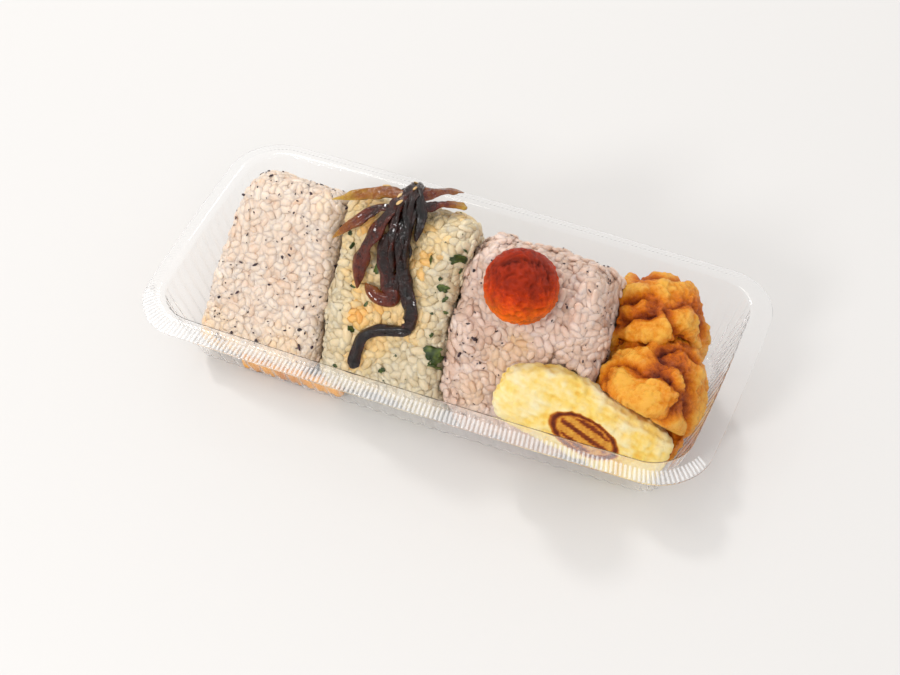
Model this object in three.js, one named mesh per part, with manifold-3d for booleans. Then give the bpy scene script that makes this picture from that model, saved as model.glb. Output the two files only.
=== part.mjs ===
// A packed meal in a clear tray: three rice balls standing on edge, simmered kelp draped over
// the middle one, a pickled plum pressed into the right one, a slab of rolled omelette and two
// pieces of fried chicken. Millimetres, +Z up, origin under the middle of the tray.
import * as THREE from 'three';
import { mergeVertices } from 'three/addons/utils/BufferGeometryUtils.js';
import Module from 'manifold-3d';

const wasm = await Module();
wasm.setup();

// ---------- driving dimensions ----------

const clearance = 0.35; // kept between pieces that touch

const tray = {
  length: 210,
  width: 106,
  rimHeight: 28.5,
  floorThickness: 0.8,
  footInset: 16.3, // from the flange edge to the foot of the outer wall
  wallTopInset: 7.4,
  beadWidth: 3.4,
  flangeDrop: 1.7,
  cornerRadius: 19,
  cornerShrink: 0.7, // how fast the corners tighten towards the foot
  bow: 1.2, // the sides stand out this much at their middle
};

const ball = {
  halfBase: 44, // of the sharp triangle that the ball is rounded from
  baseHeight: 1.2,
  topRadius: 11,
  cornerRadius: 10,
  middleHeight: 24,
  outlineSteps: 33,
  slope: Math.PI / 3,
};
const fullTop = ball.baseHeight + ball.halfBase * Math.sqrt(3) - ball.topRadius;

// x of the faces between the balls at the base, at mid height and at the top
const faceLevels = {
  leftEnd: [-87.2, -83, -75.5],
  leftMiddle: [-40.2, -40.2, -41],
  middleRight: [13.3, 4.8, 10.3],
  rightEnd: [57.3, 57.4, 52.5],
};

const plum = { radius: 12.7, centre: new THREE.Vector3(29.2, -15.4, 61), squash: 0.94 };

const omelette = {
  halfLength: 30.5,
  halfWidth: 12.4,
  halfThickness: 5.8,
  centre: new THREE.Vector3(59.4, -29.2, 20.7),
  turn: 7, // degrees about the upright
  dip: 24, // degrees that the right end hangs
  lean: 62, // degrees that the slab stands up on its long edge
  squareness: 0.42, // below 1, a ball's power that squares it up into a soft-edged slab
  overhang: 22, // degrees by which what lies behind may lean out over the slab's top edge
};

const chicken = {
  restHeight: 1.3,
  bluntness: 0.74,
  narrowing: 0.16, // how much narrower a piece gets below, between the leaning walls
  back: { centre: new THREE.Vector3(67.8, 12.8, 22.5), radii: new THREE.Vector3(18.4, 19.5, 25), phase: 0.4 },
  front: { centre: new THREE.Vector3(75.2, -11.5, 19.5), radii: new THREE.Vector3(18.2, 23, 22), phase: 2.1 },
};

// where the strips of kelp come together: x, distance down the ball and height, with its radii
const tangle = { x: -16.6, down: 5.5, height: 3.4, halfWidth: 7, halfLength: 12, halfThickness: 2.8 };

// ---------- shared helpers ----------

function finish(colour, roughness) {
  return new THREE.MeshStandardMaterial({ color: colour, roughness, metalness: 0 });
}

// Moves every vertex of a geometry to the place that a function gives for it.
function reshape(geometry, place) {
  const position = geometry.getAttribute('position');
  for (let index = 0; index < position.count; index += 1) {
    const point = new THREE.Vector3().fromBufferAttribute(position, index);
    const moved = place(point, index);
    position.setXYZ(index, moved.x, moved.y, moved.z);
  }
  return weld(geometry);
}

// Merges the vertices that meet, and drops the faces that this closes up, such as at a pole.
function weld(geometry) {
  geometry.deleteAttribute('normal');
  geometry.deleteAttribute('uv');
  const welded = mergeVertices(geometry, 1e-4);
  const corners = Array.from(welded.index.array);
  const kept = [];
  for (let start = 0; start < corners.length; start += 3) {
    const face = corners.slice(start, start + 3);
    if (new Set(face).size === 3) {
      kept.push(...face);
    }
  }
  welded.setIndex(kept);
  return welded;
}

// A closed skin of rings, each joined to the next. The first and the last ring are one point each.
function loft(ringCount, columnCount, place) {
  const profile = [];
  for (let ring = 0; ring < ringCount; ring += 1) {
    const onAxis = ring === 0 || ring === ringCount - 1;
    profile.push(new THREE.Vector2(onAxis ? 0 : 1, ring));
  }
  const geometry = new THREE.LatheGeometry(profile, columnCount);
  return reshape(geometry, (_, index) => {
    const column = Math.floor(index / ringCount) % columnCount;
    return place(index % ringCount, column);
  });
}

function toSolid(geometry) {
  const position = geometry.getAttribute('position');
  const vertProperties = new Float32Array(position.array);
  const triVerts = new Uint32Array(geometry.index.array);
  return new wasm.Manifold(new wasm.Mesh({ numProp: 3, vertProperties, triVerts }));
}

// A cut can leave specks behind, so only the largest part is kept.
function toGeometry(solid) {
  const parts = solid.decompose().sort((one, other) => other.volume() - one.volume());
  const mesh = parts[0].getMesh();
  const geometry = new THREE.BufferGeometry();
  geometry.setAttribute('position', new THREE.BufferAttribute(new Float32Array(mesh.vertProperties), 3));
  geometry.setIndex(new THREE.BufferAttribute(new Uint32Array(mesh.triVerts), 1));
  return geometry;
}

// The smooth curve through three values at the base, at mid height and at the top.
function between(levels, share) {
  const [low, middle, high] = levels;
  const towardsTop = (high - low) * share;
  const bulge = 4 * (middle - (low + high) / 2) * share * (1 - share);
  return low + towardsTop + bulge;
}

// Smooth unevenness from 0 to 1, different for each phase.
function uneven(point, wavelength, phase) {
  const scale = (2 * Math.PI) / wavelength;
  const first = Math.sin(point.x * scale + phase) * Math.sin(point.y * scale * 0.83 + phase * 1.7);
  const second = Math.sin(point.z * scale * 1.13 + phase * 2.3) * Math.cos(point.x * scale * 0.61 - phase);
  return (first + second + 2) / 4;
}

// ---------- clear tray ----------

const cornerSteps = 6;
const sideSteps = [7, 4]; // along the long and the short sides
const quarters = [[1, 1], [-1, 1], [-1, -1], [1, -1]];

function cornerPoint(quarter, angle, inset) {
  const radius = tray.cornerRadius - inset * tray.cornerShrink;
  const [signX, signY] = quarters[quarter % 4];
  return new THREE.Vector2(
    signX * (tray.length / 2 - inset - radius) + radius * Math.cos(angle),
    signY * (tray.width / 2 - inset - radius) + radius * Math.sin(angle),
  );
}

function bowed(point, inset) {
  const shareX = point.x / (tray.length / 2 - inset);
  const shareY = point.y / (tray.width / 2 - inset);
  return new THREE.Vector2(
    point.x - Math.sign(point.x) * tray.bow * shareY ** 2,
    point.y - Math.sign(point.y) * tray.bow * shareX ** 2,
  );
}

// The rounded rectangle that lies a given distance inside the flange's edge.
function contour(inset) {
  const points = [];
  quarters.forEach((_, quarter) => {
    for (let step = 0; step <= cornerSteps; step += 1) {
      const angle = (quarter + step / cornerSteps) * (Math.PI / 2);
      points.push(cornerPoint(quarter, angle, inset));
    }
    const from = points[points.length - 1];
    const to = cornerPoint(quarter + 1, (quarter + 1) * (Math.PI / 2), inset);
    const steps = sideSteps[quarter % 2];
    for (let step = 1; step < steps; step += 1) {
      points.push(from.clone().lerp(to, step / steps));
    }
  });
  return points.map((point) => bowed(point, inset));
}

function makeTray() {
  const wall = 0.8;
  const floor = tray.floorThickness;
  const top = tray.rimHeight;
  const beadOuter = tray.wallTopInset - tray.beadWidth;
  const wallTop = tray.wallTopInset;
  // inset and height of each ring, from under the floor, round the flange and back to the floor
  const rings = [
    [tray.footInset + 2.2, 0],
    [tray.footInset + 0.5, 0.5],
    [tray.footInset, 1.6],
    [wallTop, top - 2],
    [wallTop - 0.6, top - wall],
    [beadOuter, top - wall],
    [0.5, top - tray.flangeDrop - wall],
    [0, top - tray.flangeDrop - wall / 2],
    [0.3, top - tray.flangeDrop],
    [beadOuter, top],
    [wallTop, top],
    [wallTop + wall, top - 1.2],
    [tray.footInset + wall, 1.9],
    [tray.footInset + wall + 0.6, floor + 0.3],
    [tray.footInset + wall + 2, floor],
  ];
  const outlines = rings.map(([inset]) => contour(inset));
  const heights = [0, ...rings.map(([, height]) => height), floor];
  return loft(heights.length, outlines[0].length, (ring, column) => {
    const middle = ring === 0 || ring === heights.length - 1;
    const place = middle ? new THREE.Vector2(0, 0) : outlines[ring - 1][column];
    return new THREE.Vector3(place.x, place.y, heights[ring]);
  });
}

// ---------- rice balls ----------

// The outline of a standing rice ball: a triangle with rounded corners, y across and z up.
function ballOutline() {
  const { halfBase, baseHeight, topRadius, cornerRadius, slope } = ball;
  const baseY = halfBase - cornerRadius * Math.sqrt(3);
  const topZ = baseHeight + halfBase * Math.sqrt(3) - 2 * topRadius;
  const shape = new THREE.Shape();
  shape.absarc(baseY, baseHeight + cornerRadius, cornerRadius, -Math.PI / 2, slope / 2, false);
  shape.absarc(0, topZ, topRadius, slope / 2, Math.PI - slope / 2, false);
  shape.absarc(-baseY, baseHeight + cornerRadius, cornerRadius, Math.PI - slope / 2, 1.5 * Math.PI, false);
  return shape.getSpacedPoints(ball.outlineSteps).slice(0, -1);
}

// How far across the ball each ring lies, and its share of the full outline.
const ballRings = [
  [0, 0], [0, 0.3], [0, 0.6], [0, 0.8], [0.035, 0.93], [0.12, 1], [0.3, 1], [0.5, 1],
  [0.7, 1], [0.88, 1], [0.965, 0.93], [1, 0.8], [1, 0.6], [1, 0.3], [1, 0],
];

function makeRiceBall({ leftFace, rightFace, top, phase }) {
  const outline = ballOutline();
  const middle = new THREE.Vector2(0, ball.middleHeight);
  const stretch = (top - ball.baseHeight) / (fullTop - ball.baseHeight);
  return loft(ballRings.length, outline.length, (ring, column) => {
    const [across, size] = ballRings[ring];
    const section = middle.clone().lerp(outline[column], size);
    const spot = new THREE.Vector3(across * 44, section.x, section.y);
    const dent = 0.03 * uneven(spot, 26, phase) + 0.015 * uneven(spot, 10, phase + 1);
    section.lerp(middle, dent);
    const z = ball.baseHeight + (section.y - ball.baseHeight) * stretch;
    const share = THREE.MathUtils.clamp(z / fullTop, 0, 1);
    const x = THREE.MathUtils.lerp(between(leftFace, share), between(rightFace, share), across);
    return new THREE.Vector3(x, section.x, z);
  });
}

function shifted(levels, distance) {
  return levels.map((level) => level + distance);
}

const leftBall = makeRiceBall({
  leftFace: faceLevels.leftEnd,
  rightFace: shifted(faceLevels.leftMiddle, -clearance),
  top: 61.8,
  phase: 0.3,
});
const middleBall = makeRiceBall({
  leftFace: shifted(faceLevels.leftMiddle, clearance),
  rightFace: shifted(faceLevels.middleRight, -clearance),
  top: fullTop,
  phase: 1.9,
});
// The right ball, or with grow the pocket that it presses into the middle one.
function makeRightBall(grow) {
  return makeRiceBall({
    leftFace: shifted(faceLevels.middleRight, clearance - grow),
    rightFace: shifted(faceLevels.rightEnd, grow),
    top: 63.2,
    phase: 4.1,
  });
}

// ---------- pickled plum ----------

function makePlum(grow) {
  return reshape(new THREE.SphereGeometry(1, 24, 14), (point) => {
    const around = Math.atan2(point.x, point.z);
    const fold = 0.012 * Math.sin(9 * around) * (1 - Math.abs(point.y));
    const dimple = 0.08 * Math.exp(-((point.x + 0.1) ** 2 + (point.z - 0.25) ** 2) * 14);
    const sunk = point.y > 0 ? dimple : 0;
    const place = point.clone().multiplyScalar(plum.radius * (1 + fold - sunk) + grow);
    // the pole of the sphere, with its stem dimple, is turned up towards the front
    place.applyAxisAngle(new THREE.Vector3(1, 0, 0), THREE.MathUtils.degToRad(70));
    place.z *= plum.squash;
    return place.add(plum.centre);
  });
}

// ---------- rolled omelette ----------

function makeOmelettePlace() {
  const place = new THREE.Matrix4().setPosition(omelette.centre);
  place.multiply(new THREE.Matrix4().makeRotationZ(THREE.MathUtils.degToRad(omelette.turn)));
  place.multiply(new THREE.Matrix4().makeRotationY(THREE.MathUtils.degToRad(omelette.dip)));
  place.multiply(new THREE.Matrix4().makeRotationX(THREE.MathUtils.degToRad(omelette.lean)));
  return place;
}
const omelettePlace = makeOmelettePlace();

function makeOmelette(grow) {
  const { halfLength, halfWidth, halfThickness, squareness: power } = omelette;
  const size = new THREE.Vector3(halfLength + grow, halfWidth + grow, halfThickness + grow);
  return reshape(new THREE.SphereGeometry(1, 24, 14), (point) => {
    const squared = new THREE.Vector3(
      Math.sign(point.x) * Math.abs(point.x) ** power,
      Math.sign(point.y) * Math.abs(point.y) ** power,
      Math.sign(point.z) * Math.abs(point.z) ** power,
    );
    squared.multiplyScalar(1 / Math.max(1, squared.length() * 0.78));
    const taper = 1 - 0.12 * squared.x;
    const place = squared.multiply(size);
    place.y *= taper;
    place.multiplyScalar(1 - 0.02 * uneven(place, 21, 0.8));
    return place.applyMatrix4(omelettePlace);
  });
}

// The space before the slab and up from its top edge, which the pieces behind it stay out of.
function makeSpaceBeforeOmelette() {
  const { halfLength, halfWidth, halfThickness } = omelette;
  const [length, height, depth] = [2.5 * halfLength, 3 * halfWidth, 8 * halfThickness];
  const space = new THREE.BoxGeometry(length, height, depth);
  space.translate(1.02 * halfLength - length / 2, -height / 2, depth / 2);
  space.rotateX(-THREE.MathUtils.degToRad(omelette.overhang));
  space.translate(0, 0.88 * halfWidth, -0.6 * halfThickness);
  space.applyMatrix4(omelettePlace);
  return weld(space);
}

// ---------- fried chicken ----------

function makeChicken({ centre, radii, phase }, grow) {
  return reshape(new THREE.SphereGeometry(1, 22, 15), (point) => {
    const power = chicken.bluntness;
    const blunt = new THREE.Vector3(
      Math.sign(point.x) * Math.abs(point.x) ** power,
      Math.sign(point.y) * Math.abs(point.y) ** power,
      Math.sign(point.z) * Math.abs(point.z) ** power,
    );
    const place = blunt.multiply(radii);
    const lump = 0.16 * uneven(place, 24, phase) + 0.07 * uneven(place, 11, phase + 2);
    place.multiplyScalar(1.04 - lump);
    place.x *= 1 + chicken.narrowing * Math.min(point.z, 0);
    place.addScaledVector(point, grow).add(centre);
    place.z = Math.max(place.z, chicken.restHeight - grow); // flat where it lies on the tray
    return place;
  });
}

// ---------- simmered kelp over the middle ball ----------

// A point by its x, its distance down the front from the ball's ridge, and its height off the rice.
function onBall(x, down, height) {
  const ridge = ball.baseHeight + ball.halfBase * Math.sqrt(3) - 2 * ball.topRadius;
  const turn = THREE.MathUtils.clamp(down / ball.topRadius, -ball.slope, ball.slope);
  const beyond = down - turn * ball.topRadius;
  const radius = ball.topRadius + height;
  return new THREE.Vector3(
    x,
    -radius * Math.sin(turn) - beyond * Math.cos(ball.slope),
    ridge + radius * Math.cos(turn) - Math.abs(beyond) * Math.sin(ball.slope),
  );
}

// Each strip of kelp: points by x, distance down the ball and height, with its width and thickness.
const strips = [
  { width: 4.6, thickness: 1.6, points: [[-17, -1, 3.4], [-26, -2.5, 3.2], [-35, 1.5, 2.6], [-42, 5.5, 1.9], [-47, 6.8, 1.9]] },
  { width: 4.4, thickness: 1.6, points: [[-18, 3, 3], [-27, 5.5, 2.4], [-34, 11, 1.8], [-39, 16.5, 1.8]] },
  { width: 5.4, thickness: 2.2, points: [[-18, -1, 4.4], [-23, 6, 4], [-28, 14, 2.6], [-29, 23, 2], [-28, 30.5, 2]] },
  { width: 5, thickness: 2, points: [[-20, 12, 2.6], [-20.5, 19, 2], [-17, 26, 1.8], [-16.5, 33.5, 1.8], [-24, 31, 1.8]] },
  { width: 4.4, thickness: 2.2, points: [[-14, 12, 3.4], [-13, 19, 2.6], [-9, 27, 2], [-5, 34.5, 2], [-6.5, 40.5, 2], [-14, 43.5, 2]] },
  { width: 4, thickness: 2, points: [[-11, 42.5, 2], [-17, 45.5, 2], [-23, 50, 2], [-23.6, 57, 2], [-23.6, 60, 2]] },
  { width: 4.4, thickness: 1.6, points: [[-17, 0, 4], [-13, -5, 3.4], [-8, -8.5, 3.4], [-3, -11, 3.8]] },
  { width: 4.2, thickness: 2, points: [[-16, 3, 3.2], [-11, 0, 2.6], [-6, -4, 2], [-0.5, -7, 2]] },
  { width: 4.6, thickness: 2.4, points: [[-17.5, 6, 4.4], [-18, -1, 5], [-18, -7, 4.6]] },
];

function makeStrip({ width, thickness, points }) {
  const path = new THREE.CatmullRomCurve3(points.map(([x, down, height]) => new THREE.Vector3(x, down, height)));
  const steps = 3 * (points.length - 1);
  return reshape(new THREE.BoxGeometry(1, width, thickness, steps, 1, 1), (point) => {
    const share = point.x + 0.5;
    const spot = path.getPoint(share);
    const along = path.getTangent(share);
    const narrowing = 1 - 0.45 * Math.abs(2 * share - 1) ** 3;
    const sideways = -point.y * narrowing;
    const reach = Math.hypot(along.x, along.y);
    return onBall(
      spot.x - (along.y / reach) * sideways,
      spot.y + (along.x / reach) * sideways,
      Math.max(spot.z, thickness / 2 + 0.6) + point.z,
    );
  });
}

function makeTangle() {
  return reshape(new THREE.SphereGeometry(1, 14, 9), (point) => {
    return onBall(
      tangle.x + point.x * tangle.halfWidth,
      tangle.down - point.y * tangle.halfLength,
      tangle.height + point.z * tangle.halfThickness,
    );
  });
}

function makeKelp() {
  const solids = strips.map((strip) => toSolid(makeStrip(strip)));
  return toGeometry(solids.reduce((whole, solid) => whole.add(solid), toSolid(makeTangle())));
}

// ---------- assembly ----------

const meal = new THREE.Group();

function addPiece(name, geometry, material) {
  const mesh = new THREE.Mesh(geometry, material);
  mesh.name = name;
  meal.add(mesh);
}

const paleRice = finish(0xe8dfdc, 0.55);
const greenRice = finish(0xe6e6d2, 0.55);
const crust = finish(0xd98a2c, 0.6);

const omelettePocket = toSolid(makeOmelette(clearance));
const plumPocket = toSolid(makePlum(clearance));
const ricePocket = toSolid(makeRightBall(1.5 * clearance));
const frontPocket = toSolid(makeChicken(chicken.front, clearance));
const spaceBefore = toSolid(makeSpaceBeforeOmelette());

const middleRice = toSolid(middleBall).subtract(toSolid(makeRightBall(4 * clearance)));
const rightRice = toSolid(makeRightBall(0)).subtract(plumPocket).subtract(omelettePocket);
const backChicken = toSolid(makeChicken(chicken.back, 0)).subtract(frontPocket).subtract(ricePocket);
const wholeFront = toSolid(makeChicken(chicken.front, 0)).subtract(ricePocket);
const frontChicken = wholeFront.subtract(omelettePocket).subtract(spaceBefore);

addPiece('tray', makeTray(), finish(0xf4f6f6, 0.15));
addPiece('rice_left', leftBall, paleRice);
addPiece('rice_middle', toGeometry(middleRice), greenRice);
addPiece('rice_right', toGeometry(rightRice), paleRice);
addPiece('kelp_topping', makeKelp(), finish(0x3c1a10, 0.25));
addPiece('pickled_plum', makePlum(0), finish(0xbf4018, 0.35));
addPiece('omelette', makeOmelette(0), finish(0xffe890, 0.6));
addPiece('chicken_back', toGeometry(backChicken), crust);
addPiece('chicken_front', toGeometry(frontChicken), crust);

export default meal;
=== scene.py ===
import bpy
import bmesh
import math
import random
from bisect import bisect
from itertools import accumulate, product
from mathutils import Vector, Matrix, noise
from mathutils.bvhtree import BVHTree


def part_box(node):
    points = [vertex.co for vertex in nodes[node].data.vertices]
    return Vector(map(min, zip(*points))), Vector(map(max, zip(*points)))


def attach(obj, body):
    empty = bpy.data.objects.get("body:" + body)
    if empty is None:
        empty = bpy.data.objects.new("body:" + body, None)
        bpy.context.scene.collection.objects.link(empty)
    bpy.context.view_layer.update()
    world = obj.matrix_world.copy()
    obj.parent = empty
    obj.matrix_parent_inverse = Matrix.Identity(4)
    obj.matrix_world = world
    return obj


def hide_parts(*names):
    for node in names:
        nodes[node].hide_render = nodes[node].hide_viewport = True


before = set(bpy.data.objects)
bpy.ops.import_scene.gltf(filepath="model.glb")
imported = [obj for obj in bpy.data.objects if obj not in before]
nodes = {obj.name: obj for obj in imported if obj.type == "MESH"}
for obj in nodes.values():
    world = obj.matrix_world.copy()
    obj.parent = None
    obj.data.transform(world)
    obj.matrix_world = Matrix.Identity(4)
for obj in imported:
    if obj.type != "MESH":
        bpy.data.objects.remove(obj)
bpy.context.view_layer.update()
mm = 0.001
print("frame loaded")


# small tools for every piece

def linear(hexColour):
    # one sRGB hex value to linear red, green, blue and alpha
    channels = [int(hexColour[i:i + 2], 16) / 255 for i in (0, 2, 4)]
    return [c / 12.92 if c <= 0.04045 else ((c + 0.055) / 1.055) ** 2.4 for c in channels] + [1]


def addNode(tree, kind, settings=None, links=None, stops=None):
    # settings: attribute or input to value; links: input to its source; stops: a ramp's colours
    node = tree.nodes.new(kind)
    for name, value in (settings or {}).items():
        if isinstance(name, str) and hasattr(node, name):
            setattr(node, name, value)
        else:
            node.inputs[name].default_value = value
    for name, source in (links or {}).items():
        tree.links.new(source, node.inputs[name])
    for index, (position, colour) in enumerate(stops or ()):
        elements = node.color_ramp.elements
        element = elements[index] if index < 2 else elements.new(position)
        element.position = position
        element.color = linear(colour)
    return node


def newMaterial(name):
    material = bpy.data.materials.new(name)
    material.use_nodes = True
    tree = material.node_tree
    tree.nodes.clear()
    return material, tree


def foodMaterial(name, patterns):
    # a material and its noise patterns, each with the size of its features in mm, detail and roughness
    material, tree = newMaterial(name)
    place = addNode(tree, "ShaderNodeTexCoord").outputs["Object"]
    return material, tree, [addNode(tree, "ShaderNodeTexNoise", {
        "Scale": 1 / (size * mm), "Detail": detail, "Roughness": roughness,
    }, {"Vector": place}) for size, detail, roughness in patterns]


def addSurface(tree, colour, grain, strength, depth, settings):
    # how every food's material ends: bumps from its finest pattern, depth in mm, and the surface
    bump = addNode(tree, "ShaderNodeBump", {"Strength": strength, "Distance": depth * mm}, {
        "Height": grain.outputs["Fac"]})
    surface = addNode(tree, "ShaderNodeBsdfPrincipled", settings, {
        "Base Color": colour, "Normal": bump.outputs[0]})
    addNode(tree, "ShaderNodeOutputMaterial", links={"Surface": surface.outputs[0]})


def toObject(bm, name, material):
    mesh = bpy.data.meshes.new(name)
    bm.to_mesh(mesh)
    bm.free()
    piece = bpy.data.objects.new(name, mesh)
    bpy.context.scene.collection.objects.link(piece)
    if material:
        mesh.materials.append(material)
    mesh.polygons.foreach_set("use_smooth", [True] * len(mesh.polygons))
    return piece


def applyModifiers(piece):
    depsgraph = bpy.context.evaluated_depsgraph_get()
    mesh = bpy.data.meshes.new_from_object(piece.evaluated_get(depsgraph))
    piece.modifiers.clear()
    piece.data = mesh
    return piece


def addLayer(piece, name, values):
    # one number for each point of a piece, for its material to read
    piece.data.attributes.new(name, "FLOAT", "POINT").data.foreach_set("value", values)


def addRemesh(piece, voxel):
    remesh = piece.modifiers.new("remesh", "REMESH")
    remesh.mode = "VOXEL"
    remesh.voxel_size = voxel * mm
    remesh.use_smooth_shade = True


def remeshed(nodeName, name, voxel, rounds, material):
    # a fine even skin over a CAD node's shape
    bm = bmesh.new()
    bm.from_mesh(nodes[nodeName].data)
    bmesh.ops.remove_doubles(bm, verts=bm.verts, dist=1e-6)
    piece = toObject(bm, name, material)
    addRemesh(piece, voxel)
    smooth = piece.modifiers.new("smooth", "SMOOTH")
    smooth.factor = 0.5
    smooth.iterations = rounds
    return applyModifiers(piece)


def settle(piece, *replaced, slot):
    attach(piece, "root")
    if replaced:
        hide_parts(*replaced)
    return piece


def shareBetween(value, low, high):
    # 0 below low, 1 above high and a smooth rise between them
    share = min(max((value - low) / (high - low), 0), 1)
    return share * share * (3 - 2 * share)


# camera, lights and floor

view = dict(
    azimuth=22.44, elevation=47.17, distance=0.7755, target=Vector((-0.00005, -0.0062, 0.015)),
    lens=88, sensorWidth=36, nearest=0.01,
)
studio = dict(
    sky="fefefe", skyStrength=0.9, paper="cfcdcb", paperSize=3,
    lights=[  # name, place and aim in metres, width, watts, tint; two put highlights on wet food
        ("key", (-0.9, 0.8, 1.7), (0, 0, 0.02), 0.8, 8, "fffbf5"),
        ("fill", (1.0, -1.3, 1.5), (0, 0, 0.03), 0.9, 7, "ffffff"),
        ("spark", (-0.55, 0.6, 0.9), (0, 0, 0.05), 0.12, 3.4, "ffffff"),
        ("glint", (-0.4, -0.9, 0.6), (0, 0, 0.05), 0.2, 5, "ffffff"),
    ],
)


def makeCamera():
    azimuth, elevation = math.radians(view["azimuth"]), math.radians(view["elevation"])
    back = Vector((
        math.sin(azimuth) * math.cos(elevation),
        -math.cos(azimuth) * math.cos(elevation),
        math.sin(elevation),
    ))
    data = bpy.data.cameras.new("camera")
    data.lens = view["lens"]
    data.sensor_width = view["sensorWidth"]
    data.clip_start = view["nearest"]
    camera = bpy.data.objects.new("camera", data)
    camera.location = view["target"] + back * view["distance"]
    camera.rotation_euler = (math.pi / 2 - elevation, 0, azimuth)
    bpy.context.scene.collection.objects.link(camera)
    bpy.context.scene.camera = camera


def makeLight(name, place, aim, size, power, tint):
    data = bpy.data.lights.new(name, "AREA")
    data.shape = "DISK"
    data.size = size
    data.energy = power
    data.color = linear(tint)[:3]
    light = bpy.data.objects.new(name, data)
    light.location = place
    light.rotation_euler = (Vector(aim) - Vector(place)).to_track_quat("-Z", "Y").to_euler()
    bpy.context.scene.collection.objects.link(light)


def makeStudio():
    world = bpy.data.worlds.new("studio")
    world.use_nodes = True
    background = world.node_tree.nodes["Background"]
    background.inputs["Color"].default_value = linear(studio["sky"])
    background.inputs["Strength"].default_value = studio["skyStrength"]
    bpy.context.scene.world = world
    for light in studio["lights"]:
        makeLight(*light)
    material, tree = newMaterial("paperSweep")  # matt white paper, nearly even to the eye
    surface = addNode(tree, "ShaderNodeBsdfPrincipled", {
        "Base Color": linear(studio["paper"]), "Roughness": 0.9, "Specular IOR Level": 0.1})
    addNode(tree, "ShaderNodeOutputMaterial", links={"Surface": surface.outputs[0]})
    bm = bmesh.new()
    bmesh.ops.create_grid(bm, x_segments=1, y_segments=1, size=studio["paperSize"])
    floor = toObject(bm, "floor", material)
    bpy.context.scene.view_settings.view_transform = "Standard"
    bpy.context.scene.cycles.transparent_max_bounces = 32  # enough for a look through several walls


makeCamera()
makeStudio()
print("camera and studio ready")


# clear tray: oriented polystyrene sheet, vacuum formed, so it is glassy with soft ribs and flutes

tray = dict(  # mm; insets are from the flange's edge
    wall=0.3, floorTop=0.7, floorInset=34, floorLift=0.35, rimTop=28.5, footInset=16.3, footHeight=1.6,
    wallTopInset=7.4, wallRings=7, beadWidth=3.4, flangeDrop=1.7,
    cornerRadius=19, cornerShrink=0.7, bow=1.2,
    ribPitch=1.65, ribHeight=0.8, ribColumns=4, ribFade=(30, 44), ribBehind=0.15,
    flutePitch=5.6, fluteDepth=0.7,
)


def makeClearPlastic(name, clearness, roughness):
    # clear polystyrene sheet: sharp highlights and a faint milky veil; the whiter, less clear version
    # on the front rib crests is a painted highlight where they catch the light
    material, tree = newMaterial(name)
    glass = addNode(tree, "ShaderNodeBsdfPrincipled", {
        "Base Color": linear("ffffff"), "Roughness": roughness, "IOR": 1.24,
        "Transmission Weight": clearness})
    clear = addNode(tree, "ShaderNodeBsdfTransparent", {"Color": linear("fcfcfc")})
    path = addNode(tree, "ShaderNodeLightPath")
    unshaded = addNode(tree, "ShaderNodeMixShader", links={
        0: path.outputs["Is Shadow Ray"], 1: glass.outputs[0], 2: clear.outputs[0]})
    mixed = addNode(tree, "ShaderNodeMixShader", links={
        0: path.outputs["Is Diffuse Ray"], 1: unshaded.outputs[0], 2: clear.outputs[0]})
    addNode(tree, "ShaderNodeOutputMaterial", links={"Surface": mixed.outputs[0]})
    return material


def trayColumns():
    # one entry for each column round the tray: quarter, angle and share of the straight side after it
    length, width = tray["halfX"] * 2, tray["halfY"] * 2
    radius = tray["cornerRadius"]
    step = tray["ribPitch"] / tray["ribColumns"]
    columns = []
    for quarter in range(4):
        arc = round(radius * math.pi / 2 / step)
        side = round(((length if quarter % 2 == 0 else width) - 2 * radius) / step)
        columns += [(quarter, (quarter + i / arc) * math.pi / 2, 0) for i in range(arc)]
        columns += [(quarter, (quarter + 1) * math.pi / 2, i / side) for i in range(side)]
    return columns


def cornerPlace(quarter, angle, inset):
    radius = tray["cornerRadius"] - inset * tray["cornerShrink"]
    signX, signY = ((1, 1), (-1, 1), (-1, -1), (1, -1))[quarter % 4]
    return Vector((
        signX * (tray["halfX"] - inset - radius) + radius * math.cos(angle),
        signY * (tray["halfY"] - inset - radius) + radius * math.sin(angle),
    ))


def trayPlace(column, inset):
    quarter, angle, share = column
    place = cornerPlace(quarter, angle, inset)
    if share:
        place = place.lerp(cornerPlace(quarter + 1, angle, inset), share)
    shareX = place.x / (tray["halfX"] - inset)
    shareY = place.y / (tray["halfY"] - inset)
    return place - Vector((shareX * shareY ** 2, shareY * shareX ** 2)) * tray["bow"]


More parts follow.
